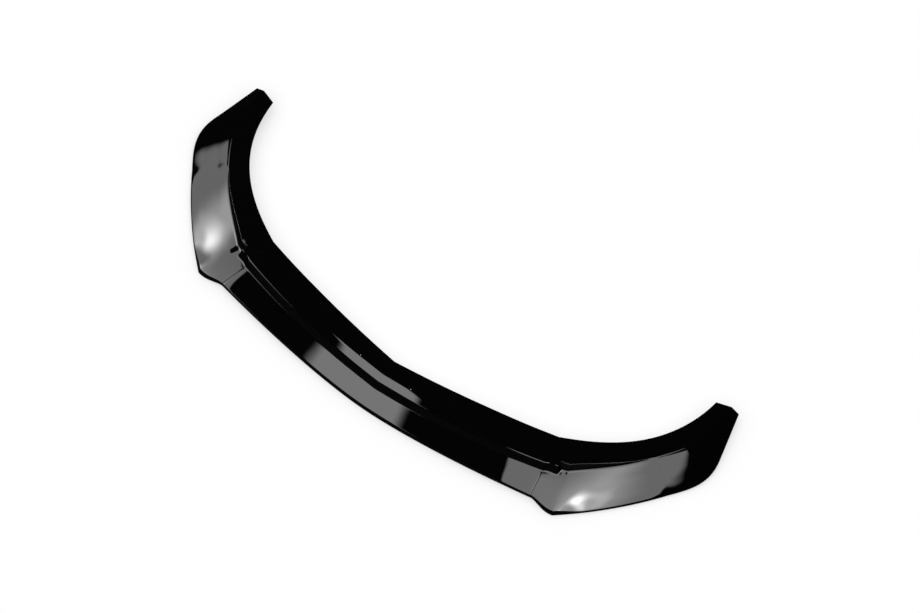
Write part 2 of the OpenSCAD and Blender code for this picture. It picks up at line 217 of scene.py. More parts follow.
    def face_z(self, g):
        thin = ramp(g, CORNER, self.CORNER_END)
        tall = self.sec.face_h - self.FACE_SINK * ramp(g, self.FACE_SINK_START, CORNER)
        return self.bottom_z(g) + mix(tall, self.sec.side_h, thin)

    def lean(self, g):
        front = self.sec.centre_lean * (1 - ramp(g, *self.LEAN_FADE))
        corner = self.sec.corner_lean * ramp(g, SEAM, CORNER) * (1 - ramp(g, CORNER, self.CORNER_END))
        return front + corner

    def risen(self, g):
        return ramp(g, *self.BLADE_RISE)

    def crease_s(self, g):
        along = min(1.0, max(0.0, (g - CORNER) / (TIP - CORNER)))
        share = bezier3(*self.CREASE_SHARES, along)
        pull = self.CREASE_PULL * (1 - ramp(g, SEAM, CORNER))
        return share * self.chord(g) - pull + self.BLADE_REACH * (1 - self.risen(g))

    def crease_full_z(self, g):
        h = self.sec.crease_h
        return mix(h - 2, h + 1, ramp(g, SEAM + 0.5, KNEE_A)) - ramp(g, KNEE_A, TIP)

    def platform_top(self):
        s = self.sec
        return s.face_h + s.blade_rise + s.step_h + s.platform_rise

    def rear_z(self, g):
        s = self.sec
        top = self.platform_top() - self.FLANGE_SINK * self.beside_joint(g, *self.FLANGE_SINK_FADE)
        if g <= SEAM:
            return top + mix(s.flange_rise, -s.flange_rise, ramp(g, 0, SEAM))
        z = mix(top - s.flange_rise, s.inner_h, ramp(g, SEAM, KNEE_A))
        return z - s.tip_drop * ramp(g, KNEE_A, TIP)

    def blade_end_s(self, g):
        return self.crease_s(g) - self.BLADE_STOP[0]

    def blade_end_z(self, g):
        s = self.sec
        level = s.face_h + s.blade_rise * self.blade_end_s(g) / self.rib_foot(g)
        return mix(level, self.crease_full_z(g) - self.BLADE_STOP[1], self.risen(g))

    def blade_z(self, g, s):
        """Height of the blade: level as far as the pointed corner, where it
        carries the rib, and then rising to the crease."""
        lean = self.lean(g)
        if g <= SEAM:
            foot_z = self.sec.face_h + self.sec.blade_rise
            return mix(self.face_z(g), foot_z, (s - lean) / (self.foot_s(g) - lean))
        share = (s - lean) / (self.blade_end_s(g) - lean)
        return mix(self.face_z(g), self.blade_end_z(g), share)

    def swell(self, g, s):
        """How far the blade's skin stands up beside a seam, more to the rear."""
        if g <= SEAM:
            off = ((SEAM - g) * self.front_speed - self.SWELL_AT) / self.SWELL_REACH[0]
        else:
            off = (g - SEAM) * self.side_speed / self.SWELL_REACH[1]
        if abs(off) >= 1:
            return 0.0
        bump = (1 - off * off) ** 2 if g <= SEAM else (1 - off) ** 2
        wide = min(1.0, max(0.0, s / self.foot_s(g)))
        return self.SWELL * bump * 4 * wide * (1 - wide)

    def rib(self, g):
        return 1 - ramp(g, self.rib_stop, self.rib_gone)

    def rib_foot(self, g):
        """Where the rib stands on the blade of a wing."""
        run = min(1.0, (g - SEAM) / (self.rib_stop - SEAM))
        return self.sec.blade_seam_w + self.sec.rib_spread * run

    def foot_s(self, g):
        s = self.sec
        if g <= SEAM:
            return mix(s.blade_w, s.blade_seam_w, g * g) + s.centre_kink * g * (1 - g) ** 4
        return mix(self.blade_end_s(g), self.rib_foot(g), self.rib(g))

    def ridge_s(self, g):
        out = self.foot_s(g) + self.sec.step_run
        return out if g <= SEAM else mix(self.crease_s(g), out, self.rib(g))

    def ridge_z(self, g):
        s = self.sec
        top = s.face_h + s.blade_rise + s.step_h + s.rib_rise * ramp(g, SEAM, self.rib_stop)
        return top if g <= SEAM else mix(self.blade_end_z(g) + self.BLADE_STOP[1], top, self.rib(g))

    def fade_w(self, g):
        """Depth of the platform on a wing, which tapers off with the step."""
        return self.sec.fade_w * (1 - self.PLATFORM_TAPER * ramp(g, CORNER, self.BLADE_RISE[1]))

    def platform_s(self, g):
        return self.ridge_s(g) + mix(self.sec.platform_w, self.fade_w(g), ramp(g, SEAM, CORNER))

    def faded_z(self, g):
        share = self.sec.platform_w / (self.chord(g) - self.ridge_s(g))
        return mix(self.ridge_z(g), self.rear_z(g), share)

    def beside_joint(self, g, keep, gone):
        """Share of a sink that grows to a joint and fades again past it."""
        return ramp(g, *self.SINK_GROWS) * (1 - ramp(g, keep, gone))

    def platform_z(self, g):
        sunk = self.PLATFORM_SINK * self.beside_joint(g, *self.PLATFORM_SINK_FADE)
        return self.platform_run_z(g) - sunk

    def platform_run_z(self, g):
        if g <= SEAM:
            return mix(self.platform_top(), self.faded_z(g), ramp(g, *self.PLATFORM_FADE))
        share = self.fade_w(g) / (self.chord(g) - self.crease_s(g))
        flat = mix(self.crease_full_z(g), self.rear_z(g), share)
        return mix(self.faded_z(SEAM), flat, ramp(g, SEAM, CORNER))

    # Section

    def keyline(self, g):
        """Sharp section: return, front face, blade, step, platform, flange."""
        z0 = self.bottom_z(g)
        top = Vector((self.lean(g), self.face_z(g)))
        foot_s = self.foot_s(g)
        foot = Vector((foot_s, self.blade_z(g, foot_s)))
        back = Vector((self.platform_s(g), self.platform_z(g)))
        rear = Vector((self.chord(g), self.rear_z(g)))
        line = [Vector((self.sec.return_w, z0)), Vector((0, z0)), top]
        blade = [mix(top.x, foot.x, f) for f in self.BLADE]
        line += [Vector((s, self.blade_z(g, s) + self.swell(g, s))) for s in blade]
        line += [foot, Vector((self.ridge_s(g), self.ridge_z(g))), back]
        line += [back.lerp(rear, f) for f in self.FLANGE]
        return line + [rear]

    def softness(self, g):
        """Softness and number of points of each corner of the keyline."""
        s = self.sec
        crease = mix(s.crease_soft, self.WING_CREASE, ramp(g, SEAM, self.rib_stop))
        soft = [(0, 1), (s.bottom_soft, 6), (s.edge_soft, 8)] + [(0, 1)] * len(self.BLADE)
        soft += [(s.foot_soft, 7), (s.ridge_soft, 8), (crease, 8)]
        return soft + [(0, 1)] * (len(self.FLANGE) + 1)

    def blade_points(self):
        """Which points of a rounded section lie on the blade."""
        first = sum(count for _, count in self.softness(SEAM)[:3])
        return range(first, first + len(self.BLADE))

    @staticmethod
    def inset(line, w):
        """The line moved sideways into the wall, with mitred corners."""
        out = []
        last = len(line) - 1
        for i, p in enumerate(line):
            ahead = (line[min(last, i + 1)] - line[min(last - 1, i)]).normalized()
            behind = (line[max(1, i)] - line[max(0, i - 1)]).normalized()
            m = Vector((behind.y, -behind.x))
            n = Vector((ahead.y, -ahead.x))
            out.append(p + (m + n) * (w / (1 + m.dot(n))))
        return out

    def section(self, g, depth=0.0, share=1.0):
        """Rounded section at a depth in the wall."""
        line = self.keyline(g)
        if depth:
            line = self.inset(line, depth)
        points = []
        for i, (soft, count) in enumerate(self.softness(g)):
            b = line[i]
            if count == 1:
                points.append(b)
                continue
            to_a = line[i - 1] - b
            to_c = line[i + 1] - b
            a = b + to_a.normalized() * min(soft * share, self.ROUND_LIMIT * to_a.length)
            c = b + to_c.normalized() * min(soft * share, self.ROUND_LIMIT * to_c.length)
            points += [bezier2(a, b, c, k / (count - 1)) for k in range(count)]
        return points

    def place(self, g, s, z):
        """Point in metres, at a distance along the section's chord."""
        a = self.outer_edge(g)
        along = (self.inner_edge(g) - a).normalized()
        p = a + along * s
        out = self.plan.tip_bow * ramp(g, self.TIP_BOW_START, TIP)
        if out:
            wide = self.chord(g)
            out *= min(s / (self.TIP_CORNER * wide), (wide - s) / ((1 - self.TIP_CORNER) * wide))
        return Vector((p.x, p.y + out - self.plan.depth / 2, z)) * MM

    def ring(self, g, depth=0.0, share=1.0):
        return [self.place(g, p.x, p.y) for p in self.section(g, depth, share)]

    def skin_z(self, g, s):
        """Height of the outer skin at a distance along the chord."""
        line = self.keyline(g)[2:]
        for a, b in zip(line, line[1:]):
            if a.x <= s <= b.x:
                return mix(a.y, b.y, (s - a.x) / (b.x - a.x))
        return line[-1].y


# Meshes

# How often the relaxed skin of the blade is smoothed, over how many points it
# eases in from the fixed ones, and the stations between which it calms down
RELAX_STEPS = 300
RELAX_EASE = 4
RELAX_FADE = (2.5, 3.5)
# Shares of the outer softness that the inner skin and the tongues' undersides have
INNER_SOFT = 0.3
TONGUE_SOFT = 0.2
# How far edges are broken on the rims of the mouldings and of the tongues, and
# on bosses and seats, in millimetres
RIM = 0.8
TONGUE_RIM = 0.3
DISC_EDGE = 0.3
# Edges that are sharper than this, in degrees, stay sharp in the shading
SHARP = 40


def sheet(bm, rings, relaxed=(), calm=()):
    """A grid that is bent to the rings of a section, one after another. The
    relaxed points of the section then settle like a skin between the rest, by
    each ring's share of calm."""
    across = len(rings[0])
    along = len(rings)
    made = bmesh.ops.create_grid(bm, x_segments=across - 1, y_segments=along - 1, size=1.0)
    inside = {}
    for v in made["verts"]:
        i = round((v.co.x + 1) / 2 * (across - 1))
        j = round((v.co.y + 1) / 2 * (along - 1))
        v.co = rings[j][i]
        if i in relaxed and 0 < j < along - 1:
            from_end = min(i - relaxed[0], relaxed[-1] - i) + 1
            inside[v] = (v.co.copy(), calm[j] * min(1.0, from_end / RELAX_EASE))
    for _ in range(RELAX_STEPS if inside else 0):
        bmesh.ops.smooth_vert(
            bm, verts=list(inside), factor=0.5, use_axis_x=True, use_axis_y=True, use_axis_z=True,
        )
    for v, (start, share) in inside.items():
        v.co = start.lerp(v.co, share)


def shell(bm, outer, inner, rim, relaxed=(), calm=()):
    """A closed shell between two sheets, with its rim edges broken slightly."""
    part = bmesh.new()
    sheet(part, outer, relaxed, calm)
    sheet(part, inner)
    border = [e for e in part.edges if e.is_boundary]
    bmesh.ops.bridge_loops(part, edges=border)
    bmesh.ops.recalc_face_normals(part, faces=part.faces)
    rim_edges = [e for e in border if e.is_valid]
    bmesh.ops.bevel(
        part, geom=rim_edges, offset=rim * MM, segments=2, affect="EDGES", profile=0.5,
        material=-1, clamp_overlap=True,
    )
    scratch = bpy.data.meshes.new("scratch")
    part.to_mesh(scratch)
    part.free()
    bm.from_mesh(scratch)
    bpy.data.meshes.remove(scratch)


def disc(bm, centre, radius, low, high):
    """A short upright cylinder with softened edges, in millimetres."""
    at = Matrix.Translation(Vector((centre.x, centre.y, (low + high) / 2 * MM)))
    made = bmesh.ops.create_cone(
        bm, cap_ends=True, segments=48, radius1=radius * MM, radius2=radius * MM,
        depth=(high - low) * MM, matrix=at,
    )
    edges = {e for v in made["verts"] for e in v.link_edges}
    rims = [e for e in edges if abs(e.verts[0].co.z - e.verts[1].co.z) < MM / 10]
    bmesh.ops.bevel(
        bm, geom=rims, offset=DISC_EDGE * MM, segments=2, affect="EDGES", profile=0.5, material=-1,
    )


def stations(*stops):
    """Stations between stops given as (station, steps to reach it)."""
    out = [stops[0][0]]
    for (a, _), (b, steps) in zip(stops, stops[1:]):
        out += [mix(a, b, (k + 1) / steps) for k in range(steps)]
    return out


def finish_mesh(name, bm, materials):
    mesh = bpy.data.meshes.new(name)
    bm.to_mesh(mesh)
    bm.free()
    for m in materials:
        mesh.materials.append(m)
    mesh.shade_smooth()
    mesh.set_sharp_from_angle(angle=math.radians(SHARP))
    ob = bpy.data.objects.new(name, mesh)
    bpy.context.scene.collection.objects.link(ob)
    return ob


def even_shine(ob):
    """Normals that follow the larger faces, so that a rounded edge doesn't
    bend the shine of the face beside it."""
    mod = ob.modifiers.new("shine", "WEIGHTED_NORMAL")
    mod.keep_sharp = True


def cut(ob, cutter):
    """Takes the cutter out of the object and applies it."""
    mod = ob.modifiers.new("holes", "BOOLEAN")
    mod.operation = "DIFFERENCE"
    mod.solver = "EXACT"
    mod.object = cutter
    bpy.context.view_layer.update()
    applied = bpy.data.meshes.new_from_object(ob.evaluated_get(bpy.context.evaluated_depsgraph_get()))
    ob.modifiers.clear()
    old = ob.data
    ob.data = applied
    bpy.data.meshes.remove(old)
    bpy.data.objects.remove(cutter)


# Materials

# How much of the white page shows in gloss and metal, so that black stays deep
PAGE_IN_GLOSS = 0.03
# Brightness of the room at the horizon
ROOM_IN_GLOSS = 0.06
# Height of the orange peel as a share of the skin's waver
PEEL_SHARE = 0.015


def linear(hex_colour):
    """sRGB hex to the linear colour that a shader takes."""
    out = []
    for k in (0, 2, 4):
        c = int(hex_colour.lstrip("#")[k : k + 2], 16) / 255
        out.append(c / 12.92 if c <= 0.04045 else ((c + 0.055) / 1.055) ** 2.4)
    return (*out, 1.0)


def node(tree, kind, links=None, **values):
    """Adds a node, sets its properties and sockets, and links its inputs."""
    n = tree.nodes.new(kind)
    for key, value in values.items():
        if hasattr(n, key):
            setattr(n, key, value)
        else:
            n.inputs[key.replace("_", " ")].default_value = value
    for socket, source in (links or {}).items():
        tree.links.new(source, n.inputs[socket])
    return n


def blend(tree, share, first, second):
    """Mixes two shaders by the share of the second."""
    return node(tree, "ShaderNodeMixShader", {0: share, 1: first.outputs[0], 2: second.outputs[0]})


def new_material(name):
    m = bpy.data.materials.new(name)
    m.use_nodes = True
    m.node_tree.nodes.clear()
    return m, m.node_tree


def gloss_abs(colour):
    """Gloss black ABS, injection moulded against a polished tool: a deep clear
    shine that wavers a little, with faint hairlines from wiping."""
    m, t = new_material("gloss black ABS")
    where = node(t, "ShaderNodeTexCoord")
    # The skin's slow waver, about 60 mm long, and its fine orange peel of 2 mm
    waver = node(t, "ShaderNodeTexNoise", {"Vector": where.outputs["Object"]}, Scale=16.0, Detail=1.0)
    peel = node(t, "ShaderNodeTexNoise", {"Vector": where.outputs["Object"]}, Scale=500.0, Detail=1.0)
    height = node(
        t, "ShaderNodeMath", {0: peel.outputs["Fac"], 2: waver.outputs["Fac"]}, operation="MULTIPLY_ADD",
    )
    height.inputs[1].default_value = PEEL_SHARE
    bump = node(t, "ShaderNodeBump", {"Height": height.outputs["Value"]}, Strength=0.3, Distance=0.0002)
    # Wiping marks and dust roughen it in patches
    smear = node(t, "ShaderNodeTexNoise", {"Vector": where.outputs["Object"]}, Scale=40.0, Detail=6.0)
    rough = node(t, "ShaderNodeMapRange", {"Value": smear.outputs["Fac"]}, To_Min=0.005, To_Max=0.02)
    skin = node(
        t, "ShaderNodeBsdfPrincipled",
        {"Roughness": rough.outputs["Result"], "Normal": bump.outputs["Normal"]},
        Base_Color=linear(colour), IOR=1.53,
    )
    node(t, "ShaderNodeOutputMaterial", {"Surface": skin.outputs["BSDF"]})
    return m


def zinc_plate(colour):
    """Bright zinc on steel: a cool grey metal with cloudy patches from the
    plating bath."""
    m, t = new_material("zinc plated steel")
    where = node(t, "ShaderNodeTexCoord")
    cloud = node(t, "ShaderNodeTexNoise", {"Vector": where.outputs["Object"]}, Scale=300.0, Detail=4.0)
    rough = node(t, "ShaderNodeMapRange", {"Value": cloud.outputs["Fac"]}, To_Min=0.22, To_Max=0.42)
    grain = node(t, "ShaderNodeBump", {"Height": cloud.outputs["Fac"]}, Strength=0.2, Distance=0.0001)
    metal = node(
        t, "ShaderNodeBsdfPrincipled",
        {"Roughness": rough.outputs["Result"], "Normal": grain.outputs["Normal"]},
        Base_Color=linear(colour), Metallic=1.0,
    )
    node(t, "ShaderNodeOutputMaterial", {"Surface": metal.outputs["BSDF"]})
    return m


def page_white(strength):
    """The pale floor: the camera sees it as a white page with a painted soft shadow, its glow darkened by
    ambient occlusion near what stands on it, and the gloss sees it dimly."""
    m, t = new_material("pale floor")
    path = node(t, "ShaderNodeLightPath")
    face = node(t, "ShaderNodeNewGeometry")
    # Painted shadow: ambient occlusion darkens the page's glow beside and under the lip, in place of a
    # cast shadow
    shade = node(t, "ShaderNodeAmbientOcclusion", Distance=0.07, samples=12)
    painted_shadow = node(t, "ShaderNodeMapRange", {"Value": shade.outputs["AO"]}, To_Min=0.45, To_Max=strength)
    page = node(t, "ShaderNodeEmission", {"Strength": painted_shadow.outputs["Result"]}, Color=(1, 1, 1, 1))
    dim = node(t, "ShaderNodeEmission", Color=(1, 1, 1, 1), Strength=strength * PAGE_IN_GLOSS)
    dark = node(t, "ShaderNodeEmission", Color=(0, 0, 0, 1), Strength=0.0)
    gloss = node(
        t, "ShaderNodeMath", {0: path.outputs["Is Glossy Ray"], 1: path.outputs["Is Transmission Ray"]},
        operation="MAXIMUM",
    )
    bounce = blend(t, gloss.outputs["Value"], dark, dim)
    seen = blend(t, path.outputs["Is Camera Ray"], bounce, page)
    clear = node(t, "ShaderNodeBsdfTransparent")
    both = blend(t, face.outputs["Backfacing"], seen, clear)
    node(t, "ShaderNodeOutputMaterial", {"Surface": both.outputs[0]})
    return m


def softbox_glow(name, strength, soft_u, soft_v):
    """A lit panel whose light fades at its ends."""
    m, t = new_material(name)
    uv = node(t, "ShaderNodeUVMap", uv_map="panel")
    split = node(t, "ShaderNodeSeparateXYZ", {"Vector": uv.outputs["UV"]})
    fades = []
    for axis, soft in (("X", soft_u), ("Y", soft_v)):
        for dark, full in ((0.0, soft[0]), (1.0, 1.0 - soft[1])):
            fade = node(
                t, "ShaderNodeMapRange", {"Value": split.outputs[axis]},
                interpolation_type="SMOOTHSTEP", From_Min=dark, From_Max=full,
            )
            fades.append(fade.outputs["Result"])
    level = fades[0]
    for fade in fades[1:]:
        level = node(t, "ShaderNodeMath", {0: level, 1: fade}, operation="MULTIPLY").outputs["Value"]
    lit = node(t, "ShaderNodeEmission", Color=(1, 1, 1, 1), Strength=strength)
    clear = node(t, "ShaderNodeBsdfTransparent")
    both = blend(t, level, clear, lit)
    node(t, "ShaderNodeOutputMaterial", {"Surface": both.outputs[0]})
    return m


# Settings


class LipPlan(bpy.types.PropertyGroup):
    depth: FloatProperty(name="Depth", description="Front edge to tips, mm", default=583.0)
    half_width: FloatProperty(name="Half width", description="Across the knees, mm", default=851.0)
    seam_x: FloatProperty(name="Seam", description="Middle to seam, mm", default=516.0)
    seam_back: FloatProperty(name="Seam setback", description="Seam behind the front, mm", default=62.0)
    seam_lean: FloatProperty(name="Seam lean", description="Rear end inboard, mm", default=37.0)
    seam_run: FloatProperty(name="Seam run", description="Rear end behind its front, mm", default=174.0)
    centre_chord: FloatProperty(name="Centre depth", description="Depth in the middle, mm", default=146.0)
    corner_out: FloatProperty(name="Corner", description="Corner outboard of the seam, mm", default=77.0)
    corner_reach: FloatProperty(name="Corner reach", description="Forwards of the seam, mm", default=7.0)
    knee_back: FloatProperty(name="Knee", description="Middle of the knee, mm", default=373.0)
    knee_half: FloatProperty(name="Knee length", description="Half its length, mm", default=85.0)
    tip_in: FloatProperty(name="Tip inset", description="Tips inboard of the knees, mm", default=41.0)
    tip_w: FloatProperty(name="Tip width", description="Width of each tip, mm", default=65.5)
    tip_skew: FloatProperty(name="Tip skew", description="Inner corner forwards, mm", default=12.0)
    tip_bow: FloatProperty(name="Tip corner", description="Corner of the end edge, mm", default=5.5)


class LipSection(bpy.types.PropertyGroup):
    face_h: FloatProperty(name="Face", description="Height of the front face, mm", default=15.0)
    side_h: FloatProperty(name="Side", description="Height of the outer edge, mm", default=8.0)
    blade_rise: FloatProperty(name="Blade rise", description="Front to step, mm", default=3.0)
    step_h: FloatProperty(name="Step", description="Height of the step, mm", default=20.0)
    platform_rise: FloatProperty(name="Platform rise", description="Behind the step, mm", default=4.0)
    flange_rise: FloatProperty(name="Flange rise", description="At the middle, mm", default=1.5)
    crease_h: FloatProperty(name="Crease", description="Crease of the wings, mm", default=37.0)
    inner_h: FloatProperty(name="Inner edge", description="Inner edge of the wings, mm", default=41.0)
    tip_lift: FloatProperty(name="Tip lift", description="Tips off the ground, mm", default=19.0)
    tip_drop: FloatProperty(name="Tip drop", description="Inner edge at the tips, mm", default=5.0)
    wall: FloatProperty(name="Wall", description="Wall thickness, mm", default=3.0)
    return_w: FloatProperty(name="Return", description="Bottom return, mm", default=14.0)
    centre_lean: FloatProperty(name="Centre lean", description="Front face, mm", default=3.5)
    corner_lean: FloatProperty(name="Corner lean", description="At the corner, mm", default=6.0)
    blade_w: FloatProperty(name="Blade", description="Width at the middle, mm", default=61.0)
    blade_seam_w: FloatProperty(name="Blade at seam", description="Width at the seam, mm", default=80.0)
    centre_kink: FloatProperty(name="Kink", description="Bend of the step in the middle", default=30.0)
    step_run: FloatProperty(name="Step run", description="Depth of the step, mm", default=12.0)
    platform_w: FloatProperty(name="Platform", description="Depth of the platform, mm", default=22.0)
    fade_w: FloatProperty(name="Platform end", description="Its depth on the wings, mm", default=10.0)
    bottom_soft: FloatProperty(name="Bottom edge", description="Softness, mm", default=2.5)
    edge_soft: FloatProperty(name="Front edge", description="Softness, mm", default=3.2)
    foot_soft: FloatProperty(name="Step foot", description="Softness, mm", default=4.0)
    ridge_soft: FloatProperty(name="Step ridge", description="Softness, mm", default=3.2)
    crease_soft: FloatProperty(name="Crease edge", description="Softness, mm", default=4.0)
    rib_len: FloatProperty(name="Rib", description="Length past the seam, mm", default=47.0)
    rib_end: FloatProperty(name="Rib end", description="Length of its blunt end, mm", default=9.0)
    rib_rise: FloatProperty(name="Rib rise", description="Rise to its end, mm", default=2.5)
    rib_spread: FloatProperty(name="Rib spread", description="Blade width gained, mm", default=25.0)


class LipJoint(bpy.types.PropertyGroup):
    seam_gap: FloatProperty(name="Seam gap", description="Gap of the seam, mm", default=0.8)
    lap: FloatProperty(name="Lap", description="Length of the tongue, mm", default=30.0)
    lap_clear: FloatProperty(name="Lap clearance", description="Over the tongue, mm", default=0.3)
    screw_in: FloatProperty(name="Screws", description="Distance from the seam, mm", default=15.0)
    boss_d: FloatProperty(name="Boss", description="Diameter of a boss, mm", default=8.5)
    seat_d: FloatProperty(name="Seat", description="Diameter of a screw seat, mm", default=15.0)
    seat_h: FloatProperty(name="Seat depth", description="Below the tongue, mm", default=2.4)
    hole_spacing: FloatProperty(name="Hole spacing", description="Between the holes, mm", default=168.0)
    hole_d: FloatProperty(name="Hole", description="Diameter of a mounting hole, mm", default=3.2)
    hole_back: FloatProperty(name="Hole setback", description="Behind the platform, mm", default=6.5)


class LipFinish(bpy.types.PropertyGroup):
    skin: StringProperty(name="ABS", description="Colour of the mouldings, sRGB hex", default="#050506")
    zinc: StringProperty(name="Zinc", description="Colour of the screws, sRGB hex", default="#b9bcc0")


class StudioSettings(bpy.types.PropertyGroup):
    azimuth: FloatProperty(name="Azimuth", description="Camera azimuth, degrees", default=37.58)
    elevation: FloatProperty(name="Elevation", description="Camera elevation, degrees", default=62.13)
    distance: FloatProperty(name="Distance", description="Camera to lip, m", default=19.58)
    lens: FloatProperty(name="Lens", description="Focal length, mm", default=287.8)
    aim_x: FloatProperty(name="Aim X", description="Point looked at, m", default=0.0229)
    aim_y: FloatProperty(name="Aim Y", description="Point looked at, m", default=0.1086)
    light_height: FloatProperty(name="Panel height", description="Height of the panels, m", default=1.5)
    light: FloatProperty(name="Panel light", description="Strength of the panels", default=3.1)


GROUPS = {
    "lip_plan": LipPlan,
    "lip_section": LipSection,
    "lip_joint": LipJoint,
    "lip_finish": LipFinish,
    "lip_studio": StudioSettings,
}
# Distances of the joint screws behind the front edge, in millimetres
SCREW_BACKS = (24.0, 60.0, 140.0)
# Length of the drill for the mounting holes, in metres
DRILL_LENGTH = 0.03
# How far a boss stops short of its screw seat, and of the outer skin
BOSS_SHORT = 0.1
BOSS_SUNK = 1.0


def lip_form():
    scene = bpy.context.scene
    return LipForm(scene.lip_plan, scene.lip_section)


def material(name, make):
    return bpy.data.materials.get(name) or make()


def black_skin():
    finish = bpy.context.scene.lip_finish
    return material("gloss black ABS", lambda: gloss_abs(finish.skin))


def screw_places(form, joint, side):
    """Screw axes in plan, in metres, with the skin's height in millimetres."""
    g = form.past_seam(joint.screw_in)
    for s in SCREW_BACKS:
        p = form.place(g, s, 0.0)
        yield Vector((p.x * side, p.y, 0.0)), form.skin_z(g, s)


def mirrored(rings):
    return [[Vector((-p.x, p.y, p.z)) for p in ring] for ring in rings]


def whole(rings):
    """A half row of rings from the middle outwards, completed to the left."""
    return mirrored(rings[:0:-1]) + rings


# Operators


class SPLITTER_OT_centre(bpy.types.Operator):
    """Middle moulding with its two tongues, screw seats and mounting holes"""

    bl_idname = "splitter.centre"
    bl_label = "Middle moulding"

    def execute(self, context):
        form = lip_form()
        joint = context.scene.lip_joint
        wall = form.sec.wall
        shoulder = form.past_seam(-joint.seam_gap / 2)
        rows = stations((0.0, 0), (form.past_seam(-joint.lap), 44), (shoulder, 6))
        bm = bmesh.new()
        outer = whole([form.ring(g) for g in rows])
        inner = whole([form.ring(g, wall, INNER_SOFT) for g in rows])
        shell(bm, outer, inner, RIM)
        lip = finish_mesh("centre_moulding", bm, [black_skin()])
        self.drill(form, joint, lip)
        self.add_tongues(form, joint, lip)
        lip.data.shade_smooth()
        lip.data.set_sharp_from_angle(angle=math.radians(SHARP))
        even_shine(lip)
        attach(lip, "root")
        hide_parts("center_lip")
        return {"FINISHED"}

    @staticmethod
    def drill(form, joint, lip):
        g = next(k / 400 for k in range(400) if form.outer_edge(k / 400).x >= joint.hole_spacing / 2)
        y = form.outer_edge(g).y + form.platform_s(g) + joint.hole_back - form.plan.depth / 2
        bits = bmesh.new()
        for side in (-1, 1):
            at = Matrix.Translation(Vector((side * joint.hole_spacing / 2, y, form.platform_top())) * MM)
            bmesh.ops.create_cone(
                bits, cap_ends=True, segments=40, radius1=joint.hole_d / 2 * MM,
                radius2=joint.hole_d / 2 * MM, depth=DRILL_LENGTH, matrix=at,
            )
        cut(lip, finish_mesh("drill", bits, []))

    @staticmethod
    def add_tongues(form, joint, lip):
        wall = form.sec.wall
        top = wall + joint.lap_clear
        under = 2 * wall + joint.lap_clear
        bm = bmesh.new()
        bm.from_mesh(lip.data)
        start = form.past_seam(-joint.lap / 3)
        rows = stations((start, 0), (SEAM, 4), (form.past_seam(joint.lap), 10))
        # The tongue grows out of the wall just inside the seam: depths of its
        # upper and lower faces at its first two rings
        grown = {start: (wall - 0.6, wall + 0.4), rows[1]: (wall - 0.4, mix(wall, under, 0.8))}
        depths = [grown.get(g, (top, under)) for g in rows]
        outer = [form.ring(g, d[0], INNER_SOFT) for g, d in zip(rows, depths)]
        inner = [form.ring(g, d[1], TONGUE_SOFT) for g, d in zip(rows, depths)]
        shell(bm, outer, inner, TONGUE_RIM)
        shell(bm, mirrored(outer), mirrored(inner), TONGUE_RIM)
        for side in (-1, 1):
            for at, z in screw_places(form, joint, side):
                seat = z - under - joint.seat_h
                disc(bm, at, joint.seat_d / 2, seat, z - under + wall / 2)
        bm.to_mesh(lip.data)
        bm.free()


class SPLITTER_OT_sides(bpy.types.Operator):
    """Left and right side mouldings with their screw bosses"""

    bl_idname = "splitter.sides"
    bl_label = "Side mouldings"

    def execute(self, context):
        form = lip_form()
        joint = context.scene.lip_joint
        wall = form.sec.wall
        edge = form.past_seam(joint.seam_gap / 2)
        rows = stations(
            (edge, 0), (form.rib_stop, 18), (form.rib_gone, 14), (CORNER, 14),
            (form.CORNER_END, 12), (KNEE_A, 24), (KNEE_B, 28), (TIP, 16),
        )
        outer = [form.ring(g) for g in rows]
        inner = [form.ring(g, wall, INNER_SOFT) for g in rows]
        calm = [1 - ramp(g, *RELAX_FADE) for g in rows]
        for side, name in ((-1, "left"), (1, "right")):
            bm = bmesh.new()
            if side < 0:
                shell(bm, mirrored(outer), mirrored(inner), RIM, form.blade_points(), calm)
            else:
                shell(bm, outer, inner, RIM, form.blade_points(), calm)
            low = 2 * wall + joint.lap_clear + joint.seat_h
            for at, z in screw_places(form, joint, side):
                disc(bm, at, joint.boss_d / 2, z - low + BOSS_SHORT, z - BOSS_SUNK)
            wing = finish_mesh(f"{name}_side_moulding", bm, [black_skin()])
            even_shine(wing)
            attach(wing, "root")
            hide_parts(f"{name}_wing")
        return {"FINISHED"}


class SPLITTER_OT_fasteners(bpy.types.Operator):
    """Zinc finish on the screws and washers of both joints"""

    bl_idname = "splitter.fasteners"
    bl_label = "Fasteners"

    def execute(self, context):
        zinc = zinc_plate(context.scene.lip_finish.zinc)
        for side in ("left", "right"):
            for kind in ("screws", "washers"):
                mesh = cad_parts[f"{side}_joint_{kind}"].data
                mesh.materials.clear()
                mesh.materials.append(zinc)
        return {"FINISHED"}


